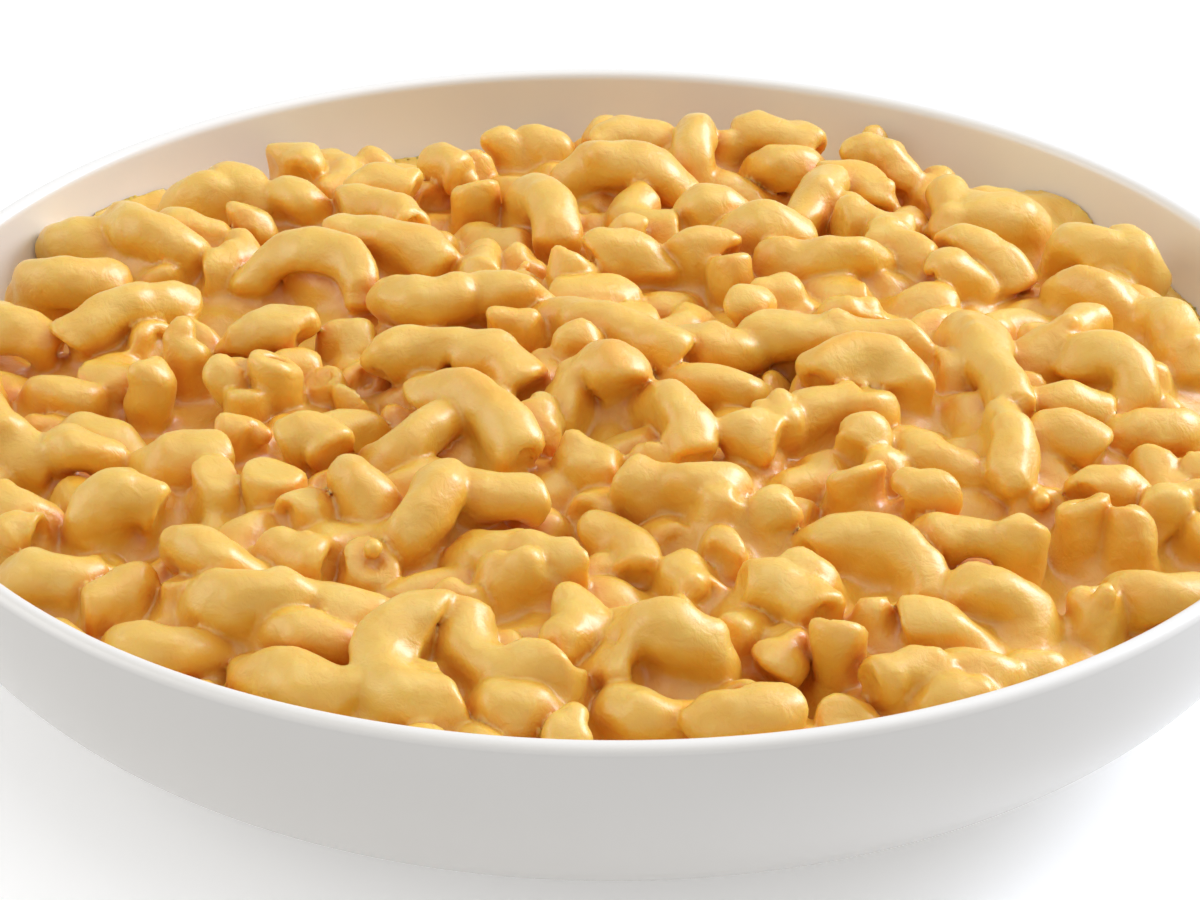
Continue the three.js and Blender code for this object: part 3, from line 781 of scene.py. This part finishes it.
def heap_field(elbows, grid, random):
    """Signed distance of the whole sauced heap. The elbows are joined with fillets, sauce fills between
    them up to a level that follows their blurred tops, slow noise makes the coat uneven, and the bowl's
    wall and a floor close the solid."""
    field = np.full(tuple(grid.shape), FAR, dtype=np.float32)
    reach = elbows["tube"] + BLOCK_MARGIN
    drift = [WARP * lattice_noise(grid, WARP_WAVE, random) for _ in range(3)]
    for i in range(len(elbows["tube"])):
        path = elbow_path(elbows, i)
        block = grid.block(path.min(0) - reach[i], path.max(0) + reach[i])
        x, y, z = (axis + bent[block] for axis, bent in zip(grid.points(block), drift))
        distance = elbow_distance(x, y, z, elbows, i).astype(np.float32)
        field[block] = smooth_min(field[block], distance, FILLET)
    for place, size in sauce_lumps(elbows, random):
        block = grid.block(place - size - LUMP_MARGIN, place + size + LUMP_MARGIN)
        x, y, z = grid.points(block)
        distance = np.sqrt((x - place[0]) ** 2 + (y - place[1]) ** 2 + (z - place[2]) ** 2) - size
        field[block] = smooth_min(field[block], distance.astype(np.float32), LUMP_FILLET)
    x, y, z = grid.points((slice(None),) * 3)
    covered = (field < 0).any(2)
    highest = grid.shape[2] - 1 - np.argmax((field < 0)[:, :, ::-1], 2)
    tops = np.where(covered, grid.low[2] + highest * grid.cell, heap_top(x, y)[:, :, 0] - 6)
    plane = lattice_noise(grid, DRIFT_WAVE, random)[:, :, 0]
    level = blur(tops, TOP_BLUR, grid.cell) - SAUCE_DEPTH + LEVEL_DRIFT * plane
    for pool_x, pool_y, pool_radius, rise in POOLS:
        away = ((x - pool_x) ** 2 + (y - pool_y) ** 2)[:, :, 0] / pool_radius ** 2
        level += rise * np.exp(-away)
    wall = (np.hypot(x, y) - inner_radius_at(z)).astype(np.float32)
    level_by_wall = level[:, :, None] + WALL_CREEP * np.exp(wall.clip(-12, 0) / WALL_CREEP)
    sauce = ((z - level_by_wall) * SAUCE_SLOPE).astype(np.float32)
    field = smooth_min(field, sauce, SAUCE_FILLET)
    field += sum(size * lattice_noise(grid, wave, random) for size, wave in COAT_NOISE)
    field = smooth_max(field, wall * WALL_SLOPE + WALL_CLEARANCE, EDGE_ROUND)
    return np.maximum(field, (HEAP_FLOOR_CUT - z).astype(np.float32))


def sauce_lumps(elbows, random):
    """Blobs of thick sauce that sit on the upper sides of elbows picked at random."""
    lumps = []
    for i in random.integers(0, len(elbows["tube"]), LUMP_COUNT):
        path = elbow_path(elbows, i)
        heading = random.normal(size=3) + np.array([0, 0, 0.9])
        heading /= np.linalg.norm(heading)
        size = random.uniform(*LUMP_SIZES)
        out = elbows["tube"][i] - size + random.uniform(*LUMPS_OUT)
        lumps.append((path[random.integers(1, 8)] + heading * out, size))
    return lumps


def elbow_path(elbows, i):
    """Points along one settled elbow's arc."""
    one = {name: elbows[name][i:i + 1] for name in ("half", "bend")}
    own = points_on_arcs(one, np.linspace(-1, 1, PATH_POINTS))[0]
    return elbows["centre"][i] + own @ elbows["axes"][i].T


def gradient_at(field, grid, places):
    """Direction in which the field grows at places, from differences over a little more than a cell."""
    steps = np.eye(3) * grid.cell * 0.6
    return np.stack([
        grid.sample(field, places + s) - grid.sample(field, places - s) for s in steps], 1)


def openness_at(field, grid, places, normals):
    """How open the heap is in front of each point, from 0 in a deep crevice to 1 on a free top: the
    distance to the nearest pasta, looking out along the normal and upward, over the distance looked."""
    total = 0
    looks = ((1.2, 0.0), (2.6, 0.3), (4.5, 0.8), (7.0, 1.2))
    for reach, lift in looks:
        heading = normals + np.array([0, 0, lift])
        heading /= np.linalg.norm(heading, axis=1, keepdims=True)
        total = total + (grid.sample(field, places + heading * reach) / reach).clip(0, 1)
    return total / len(looks)


# ---- materials

class Nodes:
    """Small helper that adds and links the nodes of one material."""

    def __init__(self, name):
        self.material = bpy.data.materials.new(name)
        self.material.use_nodes = True
        self.tree = self.material.node_tree
        self.shader = self.tree.nodes["Principled BSDF"]
        self.place = self.add("ShaderNodeTexCoord").outputs["Object"]

    def feed(self, socket, value):
        """Link a socket to another node's output, or set it to a plain value."""
        if isinstance(value, bpy.types.NodeSocket):
            self.tree.links.new(value, socket)
        else:
            socket.default_value = value

    def add(self, kind, inputs=(), **values):
        node = self.tree.nodes.new(kind)
        for name, value in values.items():
            setattr(node, name, value)
        for socket, value in inputs:
            self.feed(node.inputs[socket], value)
        return node

    def shade(self, **inputs):
        """Feed the shader's own sockets, named with _ for each space."""
        for name, value in inputs.items():
            self.feed(self.shader.inputs[name.replace("_", " ")], value)

    def noise(self, scale, detail=3.0, roughness=0.5, distortion=0.0):
        return self.add("ShaderNodeTexNoise", [
            ("Scale", scale), ("Detail", detail), ("Roughness", roughness), ("Distortion", distortion),
            ("Vector", self.place)]).outputs["Fac"]

    def attribute(self, name):
        return self.add("ShaderNodeAttribute", attribute_name=name).outputs["Fac"]

    def ramp(self, source, stops):
        node = self.add("ShaderNodeValToRGB", [("Fac", source)])
        elements = node.color_ramp.elements
        while len(elements) < len(stops):
            elements.new(0.5)
        for element, (position, colour) in zip(elements, stops):
            element.position = position
            element.color = (*colour, 1)
        return node.outputs["Color"]

    def remap(self, source, low, high, to_low=0.0, to_high=1.0):
        return self.add("ShaderNodeMapRange", [
            ("Value", source), ("From Min", low), ("From Max", high), ("To Min", to_low),
            ("To Max", to_high)]).outputs["Result"]

    def mix(self, factor, first, second, blend="MIX"):
        node = self.add("ShaderNodeMix", data_type="RGBA", blend_type=blend)
        for socket, value in ((0, factor), (6, first), (7, second)):
            self.feed(node.inputs[socket], value)
        return node.outputs[2]

    def tinted(self, colour, tint):
        """A colour with its three parts multiplied by the tint's."""
        return self.mix(1.0, colour, (*tint, 1), "MULTIPLY")

    def bump(self, height, strength, distance):
        node = self.add("ShaderNodeBump", [
            ("Height", height), ("Strength", strength), ("Distance", distance)])
        return node.outputs["Normal"]


def sauce_material(settings):
    """Creamy cheese sauce: a wet coat over a colour that light sinks into, with painted shade that darkens
    and reddens it toward the crevices and a painted highlight that makes it paler on the open tops, a little
    yellower in patches and creamier in small mottles."""
    n = Nodes("cheese_sauce")
    # Painted shade and painted highlight: the ramp runs from a darkened copy of the crevice colour where the
    # heap is closed to a paler top colour where it is open, as if by how much light reaches each point.
    painted_deep_shade = tuple(c * s for c, s in zip(settings.painted_crevice_shade, (0.92, 0.72, 0.65)))
    body = n.ramp(n.attribute("openness"), [
        (0.12, painted_deep_shade), (0.42, settings.painted_crevice_shade), (0.74, settings.sauce_colour),
        (0.98, settings.painted_top_highlight)])
    patch = n.remap(n.noise(70), 0.38, 0.64)
    body = n.mix(patch, body, n.tinted(body, (0.985, 0.92, 0.80)))
    cream = n.remap(n.noise(150, 4, 0.6), 0.50, 0.72)
    body = n.mix(cream, body, n.tinted(body, (1.04, 1.12, 1.7)))
    n.shade(Base_Color=body, Roughness=n.remap(n.noise(160), 0.3, 0.7, 0.38, 0.54),
            IOR=1.42, Specular_IOR_Level=0.6, Coat_Weight=0.85, Coat_Roughness=0.34,
            Subsurface_Weight=0.75, Subsurface_Radius=(1.0, 0.55, 0.22), Subsurface_Scale=0.0026,
            Normal=n.bump(n.noise(420, 4, 0.6, 0.5), 0.6, 0.0007))
    return n.material


def glaze_material(settings):
    """Warm white satin glaze with faint cloudiness, with painted shade that darkens it outside."""
    n = Nodes("white_glaze")
    colour = tuple(settings.glaze_colour)
    cloud = n.ramp(n.noise(26, 4), [(0.15, colour), (0.85, tuple(c * 0.97 for c in colour))])
    # Painted shade: the glaze on the outer wall and base is darkened by this share.
    shade_share = settings.outside_painted_shade
    outer = n.tinted(cloud, (shade_share, shade_share * 0.995, shade_share * 0.99))
    n.shade(Base_Color=n.mix(n.attribute("outside"), cloud, outer), Roughness=0.3, IOR=1.5,
            Coat_Weight=0.25, Coat_Roughness=0.12)
    return n.material


def floor_material():
    """Plain white floor with a little light of its own."""
    n = Nodes("white_floor")
    n.shade(Base_Color=(0.9, 0.9, 0.9, 1), Roughness=0.85, Specular_IOR_Level=0.2,
            Emission_Color=(1, 1, 1, 1), Emission_Strength=0.28)
    return n.material


# ---- operators

class MACARONI_OT_bowl(bpy.types.Operator):
    """Turn the glazed bowl"""
    bl_idname = "macaroni.bowl"
    bl_label = "Bowl"

    def execute(self, context):
        settings = context.scene.macaroni_bowl
        points, faces = turned(bowl_profile(settings), BOWL_SEGMENTS)
        mesh = smooth_mesh("glazed_bowl", points, faces, glaze_material(settings))
        # Mask of the outer wall and base, where the glaze gets its painted shade.
        away = np.hypot(points[:, 0], points[:, 1]) - inner_radius_at(points[:, 2], settings.rim_thickness)
        below_lip = (BOWL_HEIGHT - LIP_LINE - points[:, 2]).clip(0, 1)
        is_base = points[:, 2] < INNER_FLOOR - 0.1
        store(mesh, "outside", np.where(is_base, 1.0, (away / PAINTED_SHADE_FADE).clip(0, 1)) * below_lip)
        piece = linked("glazed_bowl", mesh)
        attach(piece, "root")
        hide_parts("bowl")
        return {"FINISHED"}


class MACARONI_OT_heap(bpy.types.Operator):
    """Settle the elbows and cover them with sauce"""
    bl_idname = "macaroni.heap"
    bl_label = "Macaroni in sauce"

    def execute(self, context):
        settings = context.scene.macaroni_heap
        random = np.random.default_rng(settings.seed)
        laid = laid_elbows(random)
        loose = loose_elbows(settings.elbow_count, random)
        free = np.arange(len(laid["tube"]) + len(loose["tube"])) >= len(laid["tube"])
        elbows = settle(together(laid, loose), free)
        reach = RIM_RADIUS - 1
        grid = Grid((-reach, -reach, HEAP_FLOOR_CUT - GRID_MARGIN), (reach, reach, GRID_TOP), settings.cell)
        field = heap_field(elbows, grid, random)
        points, quads = surface_net(field, grid)
        mesh = smooth_mesh("sauced_macaroni", points, [quads], sauce_material(settings))
        piece = linked("sauced_macaroni", mesh)
        thin_out(piece, SKIN_TRIANGLES)
        dress_skin(piece, field, grid)
        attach(piece, "root")
        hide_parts("macaroni_heap")
        return {"FINISHED"}


def thin_out(piece, limit):
    """Bring a mesh under a number of triangles by collapsing the edges that matter least."""
    triangles = 2 * len(piece.data.polygons)
    if triangles <= limit:
        return
    thinner = piece.modifiers.new("thin_out", "DECIMATE")
    thinner.ratio = limit / triangles
    thinner.use_collapse_triangulate = True
    shape = piece.evaluated_get(bpy.context.evaluated_depsgraph_get())
    mesh = bpy.data.meshes.new_from_object(shape)
    piece.modifiers.clear()
    piece.data = mesh


def dress_skin(piece, field, grid):
    """Give the skin the field's own normals, and store how open the heap is at each point."""
    mesh = piece.data
    places = np.empty(len(mesh.vertices) * 3, dtype=np.float32)
    mesh.vertices.foreach_get("co", places)
    places = places.reshape(-1, 3) / MM
    normals = gradient_at(field, grid, places)
    normals /= np.linalg.norm(normals, axis=1, keepdims=True).clip(1e-6)
    openness = openness_at(field, grid, places, normals)
    # The openness drives the sauce's painted shade in crevices and painted highlight on open tops.
    store(mesh, "openness", openness)
    mesh.polygons.foreach_set("use_smooth", np.ones(len(mesh.polygons), dtype=bool))
    mesh.normals_split_custom_set_from_vertices(normals.tolist())
    mesh.update()


RIM_MIDDLE = Vector((0, 0, BOWL_HEIGHT * MM))
FLOOR_RADIUS = 4.0  # metres
FLOOR_SIDES = 96
CAMERA_TILT = math.radians(0.965)  # how far below the middle of the rim the camera aims
CAMERA_TURN = math.radians(0.05)
CAMERA_ROLL = math.radians(0.6)
WORLD_LIGHT = 0.59
KEY_COLOUR = (0.92, 1.0, 1.16)


def area_light(name, place, size, power, colour=(1, 1, 1)):
    """Square soft light that faces the middle of the rim."""
    light = bpy.data.lights.new(name, "AREA")
    light.energy = power
    light.size = size
    light.color = colour
    lamp = linked(name, light)
    lamp.location = place
    lamp.rotation_euler = (RIM_MIDDLE - Vector(place)).to_track_quat("-Z", "Y").to_euler()


class MACARONI_OT_stage(bpy.types.Operator):
    """Set up the floor, lights and camera"""
    bl_idname = "macaroni.stage"
    bl_label = "Stage"

    def execute(self, context):
        scene = context.scene
        settings = scene.macaroni_stage
        bearing = np.linspace(0, 2 * np.pi, FLOOR_SIDES, endpoint=False)
        edge = np.stack([np.cos(bearing), np.sin(bearing), 0 * bearing], 1) * FLOOR_RADIUS
        mesh = bpy.data.meshes.new("floor")
        mesh.from_pydata(edge.tolist(), [], [tuple(range(len(edge)))])
        mesh.materials.append(floor_material())
        floor = linked("floor", mesh)

        world = bpy.data.worlds.new("studio")
        scene.world = world
        world.use_nodes = True
        sky = world.node_tree.nodes["Background"]
        sky.inputs["Color"].default_value = (1, 1, 1, 1)
        sky.inputs["Strength"].default_value = WORLD_LIGHT

        area_light("key", (1.05, 0.60, 0.72), 0.7, settings.key_power, KEY_COLOUR)
        area_light("overhead", (0.10, 0.05, 1.30), 1.4, 6.0)
        area_light("left", (-1.10, 0.00, 0.50), 0.8, 3.0)

        camera = bpy.data.cameras.new("camera")
        camera.lens = settings.lens
        camera.clip_end = 50
        view = linked("camera", camera)
        rise = settings.elevation
        view.location = RIM_MIDDLE + settings.distance * Vector((0, -math.cos(rise), math.sin(rise)))
        aim = Matrix.Rotation(CAMERA_TURN, 4, "Z") @ Matrix.Rotation(
            math.pi / 2 - rise - CAMERA_TILT, 4, "X")
        view.rotation_euler = (aim @ Matrix.Rotation(CAMERA_ROLL, 4, "Z")).to_euler()
        scene.camera = view
        scene.view_settings.view_transform = "Standard"
        return {"FINISHED"}


class MACARONI_PT_panel(bpy.types.Panel):
    """Buttons that build the bowl, its food and the stage"""
    bl_label = "Macaroni and Cheese"
    bl_idname = "MACARONI_PT_panel"
    bl_space_type = "VIEW_3D"
    bl_region_type = "UI"
    bl_category = "Macaroni"

    def draw(self, context):
        for operator in OPERATORS:
            self.layout.operator(operator.bl_idname)


OPERATORS = (MACARONI_OT_bowl, MACARONI_OT_heap, MACARONI_OT_stage)
SETTINGS = {"macaroni_bowl": BowlSettings, "macaroni_heap": HeapSettings, "macaroni_stage": StageSettings}


def register():
    for settings in SETTINGS.values():
        bpy.utils.register_class(settings)
    for name, settings in SETTINGS.items():
        setattr(bpy.types.Scene, name, bpy.props.PointerProperty(type=settings))
    for operator in OPERATORS:
        bpy.utils.register_class(operator)
    bpy.utils.register_class(MACARONI_PT_panel)


def unregister():
    bpy.utils.unregister_class(MACARONI_PT_panel)
    for operator in reversed(OPERATORS):
        bpy.utils.unregister_class(operator)
    for name, settings in SETTINGS.items():
        delattr(bpy.types.Scene, name)
        bpy.utils.unregister_class(settings)


def main():
    register()
    bpy.ops.macaroni.bowl()
    bpy.ops.macaroni.heap()
    bpy.ops.macaroni.stage()


if __name__ == "__main__":
    main()
